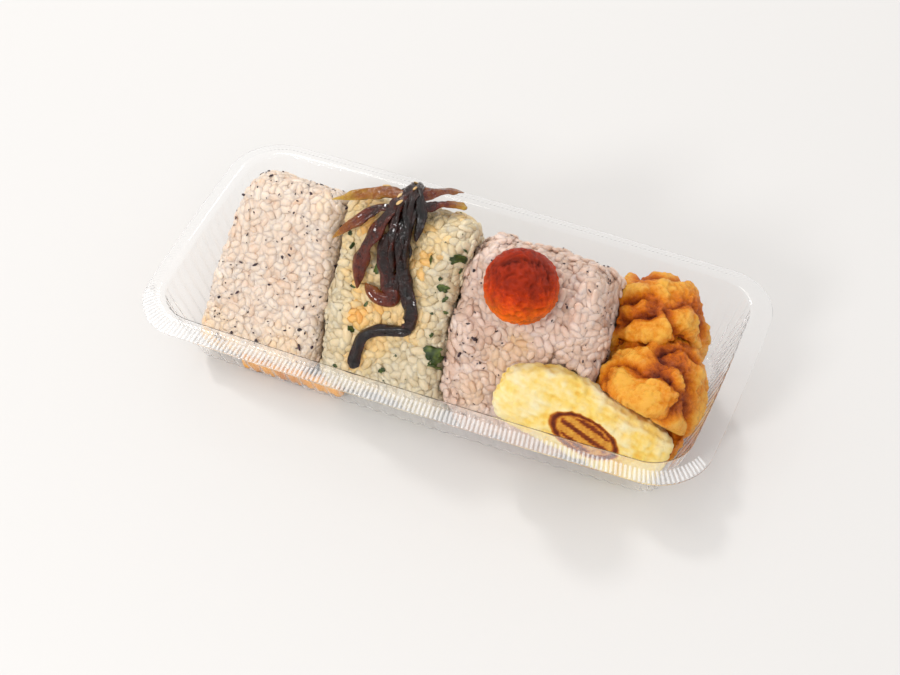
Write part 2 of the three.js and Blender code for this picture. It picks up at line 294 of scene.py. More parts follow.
def makeTray(materials):
    least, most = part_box("tray")
    tray["halfX"], tray["halfY"] = (most.x - least.x) / 2 / mm, (most.y - least.y) / 2 / mm
    columns = trayColumns()
    count = len(columns)
    flutes = round(count * tray["ribPitch"] / tray["ribColumns"] / tray["flutePitch"])
    top, foot, wallTop = tray["rimTop"], tray["footInset"], tray["wallTopInset"]
    low, floor, drop = tray["footHeight"], tray["floorLift"], tray["flangeDrop"]
    bead = wallTop - tray["beadWidth"]
    # inset, height, share of the ribs' height and of the flutes' depth, from the floor up and out
    rings = [(tray["floorInset"], floor, 0, 0), (foot + 6, floor, 0, 0)]
    rings += [(foot + 4.4, 0.3, 0, 0), (foot + 3.6, 0, 0, 0)]
    rings += [(foot + 1.6, 0, 0, 0.2), (foot + 0.7, 0.4, 0, 0.7), (foot, low, 0, 1)]
    for i in range(1, tray["wallRings"]):
        share = i / tray["wallRings"]
        inset = foot + (wallTop + 0.5 - foot) * share
        rings.append((inset, low + (top - 4.2) * share, 0, 1 - 0.5 * share))
    rings += [(wallTop + 0.25, top - 1.1, 0, 0.3), (wallTop, top - 0.3, 0, 0)]
    rings += [(wallTop - 0.5, top, 0, 0), (bead + 0.4, top, 0, 0)]
    rings += [(bead, top - 0.15, 0.3, 0), (bead - 0.3, top - 0.3, 1, 0)]
    rings += [(bead * 0.5, top - drop * 0.55, 1, 0), (0.5, top - drop, 1, 0)]
    rings += [(0.15, top - drop - 0.1, 0.4, 0), (0.1, top - drop - 0.5, 0, 0)]

    def pressed(spot):
        # the ribs are pressed deep along the front and round its corners, and fade out behind
        return tray["ribBehind"] + (1 - tray["ribBehind"]) * shareBetween(-spot.y, *tray["ribFade"])

    def crestShare(index):
        return math.cos(math.tau * index / tray["ribColumns"])

    def place(index, ring):
        inset, height, rib, flute = ring
        wave = math.tau * flutes * index / count
        out = flute * tray["fluteDepth"] * (0.5 * math.cos(wave) - 0.1)
        spot = trayPlace(columns[index], inset - out)
        lift = rib * pressed(spot) * tray["ribHeight"] * (0.5 * crestShare(index))
        return Vector((spot.x, spot.y, height + lift + tray["wall"] / 2)) * mm

    bm = bmesh.new()
    crest = bm.verts.layers.float.new("crest")
    ring = bmesh.ops.create_circle(bm, cap_ends=True, segments=count, radius=0.01)["verts"]
    bm.verts.ensure_lookup_table()
    for index, vert in enumerate(ring):
        vert.co = place(index, rings[0])
    edges = list(bm.edges)
    order = {vert: index for index, vert in enumerate(ring)}
    for spec in rings[1:]:
        grown = bmesh.ops.extrude_edge_only(bm, edges=edges)["geom"]
        edges = [item for item in grown if isinstance(item, bmesh.types.BMEdge)]
        fresh = {item for item in grown if isinstance(item, bmesh.types.BMVert)}
        newOrder = {}
        for vert in fresh:
            below = next(e.other_vert(vert) for e in vert.link_edges if e.other_vert(vert) in order)
            newOrder[vert] = order[below]
        for vert, index in newOrder.items():
            vert.co = place(index, spec)
            vert[crest] = spec[2] * pressed(vert.co / mm) * crestShare(index)
        order = newOrder
        edges = [e for e in edges if e.verts[0] in order and e.verts[1] in order]
    bmesh.ops.recalc_face_normals(bm, faces=bm.faces)
    # faces on the rib crests along the front take the second, whiter plastic: a painted highlight
    # where the ribs catch the light
    for face in bm.faces:
        face.material_index = int(sum(vert[crest] for vert in face.verts) > 1)
    piece = toObject(bm, "clear_tray", materials[0])
    piece.data.materials.append(materials[1])
    wall = piece.modifiers.new("wall", "SOLIDIFY")
    wall.thickness = tray["wall"] * mm
    wall.offset = 0
    applyModifiers(piece)
    return settle(piece, "tray", slot="clear_plastic")


# the second plastic, whiter and less clear, is a painted highlight on the front rib crests
makeTray((makeClearPlastic("clearPolystyrene", 0.975, 0.04),
          makeClearPlastic("ribHighlightPolystyrene", 0.78, 0.16)))
print("tray made")


# food: shared ways of shaping and scattering

def shaped(piece, move):
    # move: from a place in mm to how far the skin goes out there; kept as "high" for the colours
    bm = bmesh.new()
    bm.from_mesh(piece.data)
    bm.normal_update()
    high = bm.verts.layers.float.new("high")
    for vert, normal in [(vert, vert.normal.copy()) for vert in bm.verts]:
        vert[high] = move(vert.co / mm)
        vert.co += normal * vert[high] * mm
    bm.to_mesh(piece.data)
    bm.free()
    return piece


def restOnTray(piece):
    # nothing of the piece goes below the tray's floor
    for vert in piece.data.vertices:
        vert.co.z = max(vert.co.z, tray["floorTop"] * mm)
    return piece


def lump(place, size, seed=0):
    # even noise from -1 to 1 with features about so many mm across
    return noise.noise(place / size + Vector((seed * 7.3, seed * 3.1, seed * 5.7)))


def nodules(place, size, seed=0):
    # rounded bumps, 1 at a bump's top and about 0 in the clefts between them
    near = noise.voronoi(place / size + Vector((seed * 5.1, seed * 2.3, seed * 8.9)))[0]
    return 1 - min(near[0] * 1.25, 1) ** 2


def skinSpots(piece, wanted, apart, draw):
    # seeded places over a piece's skin in mm, at least so far apart, each with its normal
    mesh = piece.data
    mesh.calc_loop_triangles()
    corners = [[mesh.vertices[i] for i in tri.vertices] for tri in mesh.loop_triangles]
    totals = list(accumulate(tri.area for tri in mesh.loop_triangles))
    cells, spots = {}, []
    for _ in range(wanted * 12):
        if len(spots) >= wanted:
            break
        one, two, three = corners[bisect(totals, draw.random() * totals[-1]) % len(corners)]
        a, b = draw.random(), draw.random()
        a, b = (1 - a, 1 - b) if a + b > 1 else (a, b)
        place = (one.co + (two.co - one.co) * a + (three.co - one.co) * b) / mm
        normal = (one.normal * (1 - a - b) + two.normal * a + three.normal * b).normalized()
        home = tuple(math.floor(part / apart) for part in place)
        around = product(*((part - 1, part, part + 1) for part in home))
        if any((place - other).length < apart for cell in around for other in cells.get(cell, ())):
            continue
        cells.setdefault(home, []).append(place)
        spots.append((place, normal))
    return spots


def lying(normal, spin, tilt, draw):
    # euler angles that lay a small thing on the skin, turned by spin and tipped a little at random
    turn = normal.to_track_quat("Z", "Y").to_matrix() @ Matrix.Rotation(spin, 3, "Z")
    turn = turn @ Matrix.Rotation(draw.gauss(0, tilt), 3, "Y")
    return (turn @ Matrix.Rotation(draw.gauss(0, tilt), 3, "X")).to_euler()


def scatter(name, template, spots, material, slot):
    # spots: place in mm, euler turn, size along each axis in mm, tone, and the share of sauce stain
    # and painted shade, each from 0 to 1
    bm = bmesh.new()
    for spot in spots:
        bm.verts.new(spot[0] * mm)
    piece = toObject(bm, name, None)
    for layer, column, unit in (("turn", 1, 1), ("size", 2, mm)):
        data = piece.data.attributes.new(layer, "FLOAT_VECTOR", "POINT").data
        data.foreach_set("vector", [part * unit for spot in spots for part in spot[column]])
    addLayer(piece, "tone", [spot[3] for spot in spots])
    addLayer(piece, "stain", [spot[4] for spot in spots])
    group = bpy.data.node_groups.new(name + "Copies", "GeometryNodeTree")
    for side in ("INPUT", "OUTPUT"):
        group.interface.new_socket(name="Geometry", in_out=side, socket_type="NodeSocketGeometry")
    points = addNode(group, "NodeGroupInput")
    turn, size = (addNode(group, "GeometryNodeInputNamedAttribute", {
        "data_type": "FLOAT_VECTOR", "Name": layer}) for layer in ("turn", "size"))
    source = addNode(group, "GeometryNodeObjectInfo", {"Object": template})
    copies = addNode(group, "GeometryNodeInstanceOnPoints", links={
        "Points": points.outputs[0], "Instance": source.outputs["Geometry"],
        "Rotation": turn.outputs[0], "Scale": size.outputs[0]})
    real = addNode(group, "GeometryNodeRealizeInstances", links={0: copies.outputs[0]})
    addNode(group, "NodeGroupOutput", links={0: real.outputs[0]})
    piece.modifiers.new("copies", "NODES").node_group = group
    applyModifiers(piece)
    for layer in ("turn", "size"):
        piece.data.attributes.remove(piece.data.attributes[layer])
    piece.data.materials.clear()
    piece.data.materials.append(material)
    piece.data.polygons.foreach_set("use_smooth", [True] * len(piece.data.polygons))
    bpy.data.objects.remove(template)
    return settle(restOnTray(piece), slot=slot)


# kelp: where its strips run, which the sauce stains in the rice follow

ball = dict(halfBase=44, baseHeight=1.2, topRadius=11, slope=math.radians(60))


def onBall(x, down, height):
    # a place in mm on a rice ball's round ridge and sloping face, so far down and so high above it
    radius = ball["topRadius"]
    ridge = ball["baseHeight"] + ball["halfBase"] * math.sqrt(3) - 2 * radius
    turn = max(-ball["slope"], min(ball["slope"], down / radius))
    beyond = down - turn * radius
    out = radius + height
    y = -out * math.sin(turn) - beyond * math.cos(ball["slope"])
    return Vector((x, y, ridge + out * math.cos(turn) - abs(beyond) * math.sin(ball["slope"])))


kelp = dict(
    ringSides=16, stepLength=0.5, wrinkle=0.3, pleat=0.45, patterns=[(3.333, 4, 0.7), (1.613, 4, 0.6)],
    ridgeFrom=50, ridgeAxis=38, faceAxis=20, taper=3,
    # width, thickness, how amber at its start and end, cup, length of its tip,
    # then the path's points: x, distance down the ball and height above it
    strips=[
        (5.2, 0.5, 0.36, 0.8, 1.4, 15,
         [(-16, -1, 3.6), (-25, -1.6, 3.2), (-32, 0.6, 2.4), (-38.5, 3.6, 1.9), (-43.8, 5.8, 1.3)]),
        (4.8, 0.6, 0.08, 0.6, 1.2, 14,
         [(-17, 3, 3.4), (-26, 4.8, 2.8), (-34, 11, 2), (-40.5, 18, 1.2)]),
        (5.8, 2.2, 0.1, 0.3, 0.8, 9,
         [(-15, -4, 5.4), (-20, 3, 4.8), (-25.5, 12, 3), (-28.3, 22, 2), (-28.3, 33, 1.2)]),
        (5.4, 1.1, 0.05, 0.4, 0.7, 4,
         [(-20, 10, 2.8), (-20.5, 18, 2.2), (-18, 26, 1.7), (-15.5, 32.5, 1.5), (-20, 33.5, 1.5),
          (-26, 30, 1.2)]),
        (5.2, 1.3, 0, 0.1, 0.9, 2,
         [(-16, 8, 3.6), (-14.5, 18, 2.6), (-11.2, 27, 1.8), (-8, 35, 1.6), (-7.4, 43, 1.5)]),
        (4.2, 1.3, 0, 0.04, 0.8, 1.6,
         [(-5.6, 42, 1.9), (-12, 43.4, 1.8), (-19, 45.6, 1.6), (-23, 49, 1.6), (-24.2, 55, 1.6),
          (-24.6, 61.5, 1.4)]),
        (5.6, 0.6, 0.26, 0.46, 1.5, 9,
         [(-16, -1, 4.2), (-12, -5, 4.6), (-8, -8.5, 5.6), (-4, -12, 7.4)]),
        (4.4, 1.5, 0, 0.75, 0.8, 1.5, [(-17, 3, 3.4), (-11, 0, 2.8), (-6, -4, 2.3), (0.5, -7.6, 2)]),
        (5, 1.6, 0.02, 0.1, 0.9, 3, [(-17.5, 8, 4.4), (-17.6, -1, 5.2), (-17.8, -8.5, 5.4)]),
        (5.2, 1, 0, 0.05, 1.3, 6, [(-15, -4, 3.2), (-14.8, 5, 4.6), (-16, 13, 3.6), (-17, 22, 2)]),
        (4.8, 1, 0, 0.12, 1.1, 7,
         [(-21, 0, 2.8), (-19, 7, 4.2), (-16, 14, 3.4), (-13.5, 22, 2.2), (-15, 31, 1.4)]),
        (4.4, 0.9, 0, 0.08, 1.2, 6, [(-12, -2, 2.6), (-14, 4, 4.4), (-18.5, 10, 4), (-21.5, 19, 2.2)]),
        (4.2, 0.9, 0, 0.05, 1, 5, [(-23, -3, 2.4), (-17, -2, 5.4), (-11.5, 3, 4.2), (-10.5, 11, 2.2)]),
        (3.6, 0.8, 0, 0.05, 1, 5, [(-11.5, 17, 2), (-14, 10, 5), (-17, 3, 6), (-21.5, -3, 3.4)]),
        (3, 0.8, 0.02, 0.1, 0.8, 6, [(-13, 23, 2), (-13, 12, 4.4), (-15.5, 2, 6.4), (-15, -6, 5.6)]),
        (2.6, 0.7, 0.04, 0.2, 0.8, 6,
         [(-16.5, 24, 2.2), (-18, 14, 5), (-18.5, 4, 6.4), (-16.5, -4, 6)]),
    ],
)


def smoothPath(points, step):
    # a Catmull-Rom path through the points, in steps of about so many mm
    ends = [points[0] * 2 - points[1]] + points + [points[-1] * 2 - points[-2]]
    path = []
    for a, b, c, d in zip(ends, ends[1:], ends[2:], ends[3:]):
        count = max(round((c - b).length / step), 2)
        for i in range(count):
            t = i / count
            curved = (a * 2 - b * 5 + c * 4 - d) * t ** 2 + (b * 3 - a - c * 3 + d) * t ** 3
            path.append((b * 2 + (c - a) * t + curved) / 2)
    return path + [points[-1]]


for index, strip in enumerate(kelp["strips"]):
    path = smoothPath([onBall(*point) for point in strip[-1]], kelp["stepLength"])
    kelp["strips"][index] = strip[:-1] + (path,)


# rice balls: hand-pressed short grain over a solid core

rice = dict(
    voxel=1.3, shrink=0.6, relief=0.5, reliefSize=3.2, apart=2.1, count=2300,
    long=5.8, wide=3.3, high=1.8, sizeSpread=0.08, longSpread=(0.85, 1.1), toneSpread=(0.2, 0.65),
    sunk=(0.55, 1.05), sunkUneven=0.4, tilt=0.15, grainSides=7, grainRings=6,
    patterns=[(8.333, 6, 0.72), (1.25, 3, 0.6)], sauceReach=3.2, specksApart=1.9, specksLift=0.15,
)
balls = [
    # how uneven in mm, number of specks, shades from pale to dark, sauce colours from weak to strong,
    # and where sauce has soaked in: x, distance down, radius and strength; on the right ball these are
    # brown painted shade
    dict(node="rice_left", slot="rice_speckled", seed=11, uneven=0.9, specks=430,
         shades=("e1d0c0", "dbc3af", "caa589"), stains=("f0cf9a", "ee9a26"), spots=[
             (-47, 2.5, 4.5, 1.0), (-45, 10, 6, 0.3), (-52, 66, 12, 0.35), (-78, 70, 12, 0.5),
             (-72, 80, 9, 1.0), (-62, 80, 9, 0.9), (-52, 82, 9, 0.6)]),
    dict(node="rice_middle", slot="rice_green", seed=12, uneven=1.8, specks=110,
         shades=("d8cbb1", "c9b797", "ae986f"), stains=("f0d08c", "d98a2a"), spots=[
             (-29.8, 11.9, 4, 0.8), (-8.9, 6.8, 4.5, 0.8), (-6.6, 15.8, 3.5, 0.9), (-26, 42, 5.5, 0.9),
             (-14, 36, 7, 0.6), (-8.3, 22.4, 2.5, 0.8), (-32, 28, 6, 0.4), (-18, 52, 6, 0.5),
             (-3, 9, 5, 0.4), (-29, 8, 4, 0.9), (-22, 39, 4, 0.8)]),
    # its brown spots are painted shade, in the hollow below the plum and down its lower front, not
    # sauce
    dict(node="rice_right", slot="rice_speckled", seed=13, uneven=3.0, specks=430,
         shades=("dcc6ba", "ccae9c", "b18c75"), stains=("dcbc98", "bd9067"), spots=[
             (31, 37, 5, 0.9), (26, 45, 7, 0.5), (43, 52, 9, 0.4), (18, 58, 7, 0.35)]),
]


def makeGrain():
    # one cooked grain of unit size along x, blunt at both ends and slightly bent
    bm = bmesh.new()
    sides, rings = rice["grainSides"], rice["grainRings"]
    bmesh.ops.create_uvsphere(bm, u_segments=sides, v_segments=rings, radius=0.5)
    for vert in bm.verts:
        along, across, up = vert.co.z, vert.co.x, vert.co.y
        fuller = 1 + 0.5 * along ** 2
        vert.co = (along, across * fuller, up * fuller - 0.35 * along ** 2)
    return toObject(bm, "grain", None)


def makeRiceMaterial(name, shades, stains):
    # cooked rice: translucent starchy white with a moist satin skin, darker where sauce soaked in and,
    # on the right ball, brown where shade is painted
    material, tree, (patches, fine) = foodMaterial(name, rice["patterns"])
    tone = addNode(tree, "ShaderNodeAttribute", {"attribute_name": "tone"}).outputs["Fac"]
    stain = addNode(tree, "ShaderNodeAttribute", {"attribute_name": "stain"}).outputs["Fac"]
    uneven = addNode(tree, "ShaderNodeMath", {"operation": "MULTIPLY_ADD", 1: 1.6}, {
        0: patches.outputs["Fac"], 2: tone})
    spread = addNode(tree, "ShaderNodeMapRange", {"From Min": 0.7, "From Max": 1.75}, {
        "Value": uneven.outputs[0]})
    base = addNode(tree, "ShaderNodeValToRGB", links={"Fac": spread.outputs[0]}, stops=[
        (0, shades[0]), (0.6, shades[1]), (1, shades[2])])
    # the sauce's colour; on the right ball this brown is painted shade
    soaked = addNode(tree, "ShaderNodeValToRGB", links={"Fac": stain}, stops=[
        (0, stains[0]), (1, stains[1])])
    much = addNode(tree, "ShaderNodeMapRange", {"From Min": 0.05, "From Max": 0.5}, {"Value": stain})
    colour = addNode(tree, "ShaderNodeMix", {"data_type": "RGBA"}, {
        0: much.outputs[0], 6: base.outputs["Color"], 7: soaked.outputs["Color"]})
    addSurface(tree, colour.outputs[2], fine, 0.7, 0.6, {
        "Roughness": 0.3, "IOR": 1.4, "Subsurface Weight": 0.35, "Subsurface Scale": 0.002,
        "Subsurface Radius": (1.0, 0.8, 0.55),
    })
    return material


def stainAt(place, item):
    # how much sauce has soaked in at a place in mm; on the right ball, how much shade is painted there
    most = 0
    for x, down, radius, strength in item["spots"]:
        away = (place - onBall(x, down, 0)).length / radius
        most = max(most, strength * math.exp(-away * away))
    if item["node"] == "rice_middle":
        near = min((place - spot).length for strip in kelp["strips"] for spot in strip[-1][::4])
        most = max(most, 0.5 * math.exp(-max(near - 3, 0) / rice["sauceReach"]))
    ragged = 0.75 + 0.5 * lump(place, 5, 4)
    return min(most * ragged, 1)


def unevenBall(place, item):
    # the hand-pressed surface's own rises and hollows, in mm
    return item["uneven"] * (lump(place, 14, item["seed"]) + 0.6 * lump(place, 6, item["seed"] + 1))


def makeBall(item):
    draw = random.Random(item["seed"])
    material = makeRiceMaterial("cookedRice_" + item["node"], item["shades"], item["stains"])
    core = remeshed(item["node"], item["node"] + "_core", rice["voxel"], 3, material)
    spots = skinSpots(core, rice["count"], rice["apart"], draw)
    specks = skinSpots(core, item["specks"], rice["specksApart"], draw)
    shaped(core, lambda place: unevenBall(place, item) - rice["shrink"]
           + rice["relief"] * (nodules(place, rice["reliefSize"], item["seed"]) - 0.5))
    addLayer(core, "stain", [stainAt(vert.co / mm, item) for vert in core.data.vertices])
    addLayer(core, "tone", [0.5] * len(core.data.vertices))
    settle(restOnTray(core), item["node"], slot=item["slot"])
    grains = []
    for place, normal in spots:
        rise = unevenBall(place, item) + rice["sunkUneven"] * lump(place, 4.5, 3)
        rise -= draw.uniform(*rice["sunk"])
        size = draw.gauss(1, rice["sizeSpread"])
        turn = lying(normal, draw.uniform(0, math.tau), rice["tilt"], draw)
        long = rice["long"] * size * draw.uniform(*rice["longSpread"])
        grains.append((
            place + normal * rise, turn, (long, rice["wide"] * size, rice["high"] * size),
            draw.uniform(*rice["toneSpread"]), stainAt(place, item)))
    scatter(item["node"] + "_grains", makeGrain(), grains, material, item["slot"])
    # from here on the ball's specks are their places on the finished skin
    item["specks"] = [
        (place + normal * (unevenBall(place, item) + rice["specksLift"]), normal)
        for place, normal in specks]
    return core


cores = {item["node"]: makeBall(item) for item in balls}
print("rice balls made")


# kelp strips: simmered in soy sauce, nearly black where thick, amber where thin, wet all over

def makeKelpMaterial():
    # simmered kelp: nearly black jelly-like flesh under wet syrup that glints on every wrinkle
    material, tree, (blotches, wrinkles) = foodMaterial("simmeredKelp", kelp["patterns"])
    amber = addNode(tree, "ShaderNodeAttribute", {"attribute_name": "amber"}).outputs["Fac"]
    uneven = addNode(tree, "ShaderNodeMath", {"operation": "MULTIPLY_ADD", 1: 0.55}, {
        0: blotches.outputs["Fac"], 2: amber})
    colour = addNode(tree, "ShaderNodeValToRGB", links={"Fac": uneven.outputs[0]}, stops=[
        (0.26, "080302"), (0.4, "280a04"), (0.54, "5a1a06"), (0.78, "8a5010"), (1, "b08a30")])
    addSurface(tree, colour.outputs["Color"], wrinkles, 1.0, 1.1, {
        "Roughness": 0.16, "IOR": 1.42, "Specular IOR Level": 0.3,
        "Coat Weight": 0.4, "Coat Roughness": 0.05,
    })
    return material


def addStrip(bm, amberLayer, index, strip):
    # a grid wrapped round its path: along the strip one way, round its thin section the other
    width, thick, amberStart, amberEnd, curl, tip, path = strip
    last = len(path) - 1
    grid = bmesh.ops.create_grid(bm, x_segments=last, y_segments=kelp["ringSides"], size=1)["verts"]
    for vert in grid:
        step = round((vert.co.x + 1) / 2 * last)
        turn = (vert.co.y + 1) / 2 * math.tau
        reach, left = step * kelp["stepLength"], (last - step) * kelp["stepLength"]
        centre = path[step]
        along = (path[min(step + 1, last)] - path[max(step - 1, 0)]).normalized()
        axis = kelp["ridgeAxis"] if centre.z > kelp["ridgeFrom"] else centre.z - kelp["faceAxis"]
        out = (centre - Vector((centre.x, 0, axis))).normalized()
        side = along.cross(out).normalized()
        out = side.cross(along)
        # its roll, ragged edges, end and pleats, each uneven along the strip in its own way
        roll = 0.9 * lump(Vector((reach, index * 9, 0)), 8, 3)
        edge = lump(Vector((reach, index * 9, math.copysign(6, math.cos(turn)))), 5, 5)
        end = min(reach / kelp["taper"], left / tip, 1) ** 0.65
        across = math.cos(turn) * width / 2 * (1 + 0.3 * edge) * end
        pleat = kelp["pleat"] * math.sin(across * 2.1 + 4 * lump(Vector((reach, index * 9, 3)), 9, 2))
        cup = pleat - curl * 2 * (across / width) ** 2 + curl * 0.3
        up = math.sin(turn) * thick / 2 * min(end * 2, 1) + cup * end
        sideways = across * math.cos(roll) - up * math.sin(roll)
        outward = across * math.sin(roll) + up * math.cos(roll)
        place = centre + side * sideways + out * outward
        place += out * kelp["wrinkle"] * lump(place, 1.4, 8) * end
        vert.co = place * mm
        amber = amberStart + (amberEnd - amberStart) * (step / last) ** 2
        vert[amberLayer] = amber + 0.08 * abs(math.cos(turn)) ** 3
    bmesh.ops.remove_doubles(bm, verts=grid, dist=1e-5)


def makeKelp():
    bm = bmesh.new()
    amberLayer = bm.verts.layers.float.new("amber")
    for index, strip in enumerate(kelp["strips"]):
        addStrip(bm, amberLayer, index, strip)
    bmesh.ops.holes_fill(bm, edges=bm.edges, sides=0)
    bmesh.ops.recalc_face_normals(bm, faces=bm.faces)
    piece = toObject(bm, "kelp_strips", makeKelpMaterial())
    return settle(piece, "kelp_topping", slot="kelp")


kelpPiece = makeKelp()
print("kelp made")


# pickled plum: a salted, dried and soaked plum pressed into the right ball

plum = dict(
    radius=12.7, centre=Vector((29.2, -15.4, 61)), squash=0.94, stemTurn=math.radians(70), fineness=6,
    creaseAlong=(0.92, 0.38), creaseDepth=1.0, dentDepth=0.6, pinchDepth=0.6, wrinkle=0.2,
    patterns=[(2.381, 6, 0.8), (1, 5, 0.75)],
)


def makePlumMaterial():
    # salted plum: thin wrinkled orange red skin, damp not glossy; painted light makes it paler orange
    # low down and darker red high up, and painted shade darkens its crease, dent and wrinkles
    material, tree, (clouds, pores) = foodMaterial("pickledPlumSkin", plum["patterns"])
    place = addNode(tree, "ShaderNodeTexCoord").outputs["Object"]
    centred = addNode(tree, "ShaderNodeMapping", {
        "vector_type": "TEXTURE", "Location": plum["centre"] * mm, "Scale": [plum["radius"] * mm] * 3,
    }, {"Vector": place})
    parts = addNode(tree, "ShaderNodeSeparateXYZ", links={"Vector": centred.outputs[0]})
    # painted light: with height the skin goes from paler orange at the bottom to darker red at the top
    risen = addNode(tree, "ShaderNodeMath", {"operation": "SUBTRACT", 1: 0.35}, {
        0: parts.outputs["Z"]})
    faces = addNode(tree, "ShaderNodeMath", {"operation": "MULTIPLY_ADD", 1: 1.5}, {
        0: clouds.outputs["Fac"], 2: risen.outputs[0]})
    colour = addNode(tree, "ShaderNodeValToRGB", links={"Fac": faces.outputs[0]}, stops=[
        (0.15, "e46604"), (0.42, "da5004"), (0.7, "c43804"), (1, "9a2808")])
    # painted shade: darker where the skin sinks into its crease, dent and wrinkles, a little lighter
    # on its rises
    high = addNode(tree, "ShaderNodeAttribute", {"attribute_name": "high"}).outputs["Fac"]
    clefts = addNode(tree, "ShaderNodeMapRange", {
        "From Min": -1.0, "From Max": 0.3, "To Min": 0.3, "To Max": 1.15}, {"Value": high})
    dark = addNode(tree, "ShaderNodeMix", {
        "data_type": "RGBA", "blend_type": "MULTIPLY", "clamp_result": True, 0: 1.0,
    }, {6: colour.outputs["Color"], 7: clefts.outputs[0]})
    addSurface(tree, dark.outputs[2], pores, 1.0, 1, {
        "Roughness": 0.22, "IOR": 1.38, "Specular IOR Level": 0.26,
        "Subsurface Weight": 0.2, "Subsurface Scale": 0.002, "Subsurface Radius": (1.0, 0.35, 0.1),
    })
    return material


def makePlum():
    bm = bmesh.new()
    bmesh.ops.create_icosphere(bm, subdivisions=plum["fineness"], radius=plum["radius"] * mm)
    bmesh.ops.scale(bm, verts=bm.verts, vec=(1, 1, plum["squash"]))
    bmesh.ops.rotate(bm, verts=bm.verts, matrix=Matrix.Rotation(plum["stemTurn"], 3, "X"))
    bmesh.ops.translate(bm, verts=bm.verts, vec=plum["centre"] * mm)
    piece = toObject(bm, "pickled_plum_skin", makePlumMaterial())

    def skin(place):
        # x, y, z, across and back are shares of the radius; across runs along the crease
        x, y, z = (place - plum["centre"]) / plum["radius"]
        leadX, leadY = plum["creaseAlong"]
        across, back = x * leadX + y * leadY, y * leadX - x * leadY
        # a long crease over the top, a dent before it, a pinch at its side, fine wrinkles round them
        wavy = 0.1 * lump(place, 4, 2)
        crease = math.exp(-((back + 0.02 + wavy - 0.15 * across * across) / 0.1) ** 2)
        crease *= shareBetween(0.75 - abs(across), 0, 0.3) * (0.75 + 0.5 * lump(place, 1.6, 7))
        dentBack = back + 0.44 - 0.25 * (across + 0.35) + wavy
        dent = math.exp(-((across + 0.35) / 0.2) ** 2 - (dentBack / 0.05) ** 2)
        pinch = math.exp(-((across - 0.72 + wavy) / 0.06) ** 2 - ((back + 0.25) / 0.25) ** 2)
        deep = plum["creaseDepth"] * crease + plum["dentDepth"] * dent + plum["pinchDepth"] * pinch
        deep *= shareBetween(z, 0, 0.2)
        bent = math.hypot(across + 0.2, back + 0.2) * 11 + 1.6 * lump(place, 5, 3)
        wrinkles = plum["wrinkle"] * math.sin(bent * 4.4) * shareBetween(lump(place, 6, 6), -0.4, 0.4)
        fine = 0.4 * lump(place, 2.2, 4) + 0.42 * lump(place, 1.2, 5)
        return wrinkles - deep + 0.45 * lump(place, 7, 1) + fine

    shaped(piece, skin)
    return settle(piece, "pickled_plum", slot="plum_skin")


makePlum()
print("plum made")


# rolled omelette: soft folded egg, cooked pale, with a plain browned oval

omelette = dict(
    voxel=0.75, centre=Vector((59.4, -29.2, 20.7)), halfWidth=12.4, halfThickness=5.8,
    turns=(math.radians(62), math.radians(24), math.radians(7)), endStretch=2.4, cornerCut=4,
    markPlace=(0.5, -3.0), markSize=(12.8, 6.2), markTurn=math.radians(-4), markDepth=0.5,
    rimAt=0.93, rimWidth=0.1, barsAcross=1.55, barsAlong=0.25, barTone=0.85, markTone=0.3,
    spotTone=0.16, patterns=[(8.333, 4, 0.55), (1.667, 4, 0.7), (2.222, 6, 0.75)],
)


def omeletteFrame():
    turned = [Matrix.Rotation(turn, 3, axis) for turn, axis in zip(omelette["turns"], "XYZ")]
    return turned[2] @ turned[1] @ turned[0]


def onOmelette(place):
    # along, across and through the omelette, in mm from its middle
    return omeletteFrame().transposed() @ (place - omelette["centre"])


def markAt(place):
    # distance from the browned oval's middle, 1 on its rim
    along, across, _ = onOmelette(place)
    x, y = along - omelette["markPlace"][0], across - omelette["markPlace"][1]
    cos, sin = math.cos(omelette["markTurn"]), math.sin(omelette["markTurn"])
    length, width = omelette["markSize"]
    return math.hypot((x * cos + y * sin) / length, (y * cos - x * sin) / width)


def makeEggMaterial():
    # rolled egg: matt set egg, pale yellow with whiter and browner patches, faintly damp; painted
    # shade makes its hollows deeper yellow and its rises paler
    material, tree, (patches, streaks, pores) = foodMaterial("rolledEgg", omelette["patterns"])
    high = addNode(tree, "ShaderNodeAttribute", {"attribute_name": "high"}).outputs["Fac"]
    # painted shade: the colour runs deeper yellow where the skin is sunken and paler where it rises
    sunken = addNode(tree, "ShaderNodeMath", {"operation": "MULTIPLY_ADD", 1: -0.16}, {
        0: high, 2: patches.outputs["Fac"]})
    base = addNode(tree, "ShaderNodeValToRGB", links={"Fac": sunken.outputs[0]}, stops=[
        (0.32, "ffecbc"), (0.5, "ffe298"), (0.64, "fdd66e"), (0.78, "f2bb46")])
    browned = addNode(tree, "ShaderNodeAttribute", {"attribute_name": "browned"}).outputs["Fac"]
    patchy = addNode(tree, "ShaderNodeMath", {"operation": "MULTIPLY_ADD", 1: 0.5, 2: -0.25}, {
        0: streaks.outputs["Fac"]})
    burnt = addNode(tree, "ShaderNodeMath", {"operation": "ADD", "use_clamp": True}, {
        0: browned, 1: patchy.outputs[0]})
    brown = addNode(tree, "ShaderNodeValToRGB", links={"Fac": burnt.outputs[0]}, stops=[
        (0.15, "f0b94a"), (0.45, "c06a1c"), (0.75, "83360f"), (1, "5c200d")])
    much = addNode(tree, "ShaderNodeMapRange", {"From Min": 0.08, "From Max": 0.3}, {"Value": browned})
    colour = addNode(tree, "ShaderNodeMix", {"data_type": "RGBA"}, {
        0: much.outputs[0], 6: base.outputs["Color"], 7: brown.outputs["Color"]})
    addSurface(tree, colour.outputs[2], pores, 1.0, 1.4, {
        "Roughness": 0.5, "IOR": 1.4, "Specular IOR Level": 0.35,
        "Subsurface Weight": 0.25, "Subsurface Scale": 0.002, "Subsurface Radius": (1.0, 0.8, 0.35),
    })
    return material


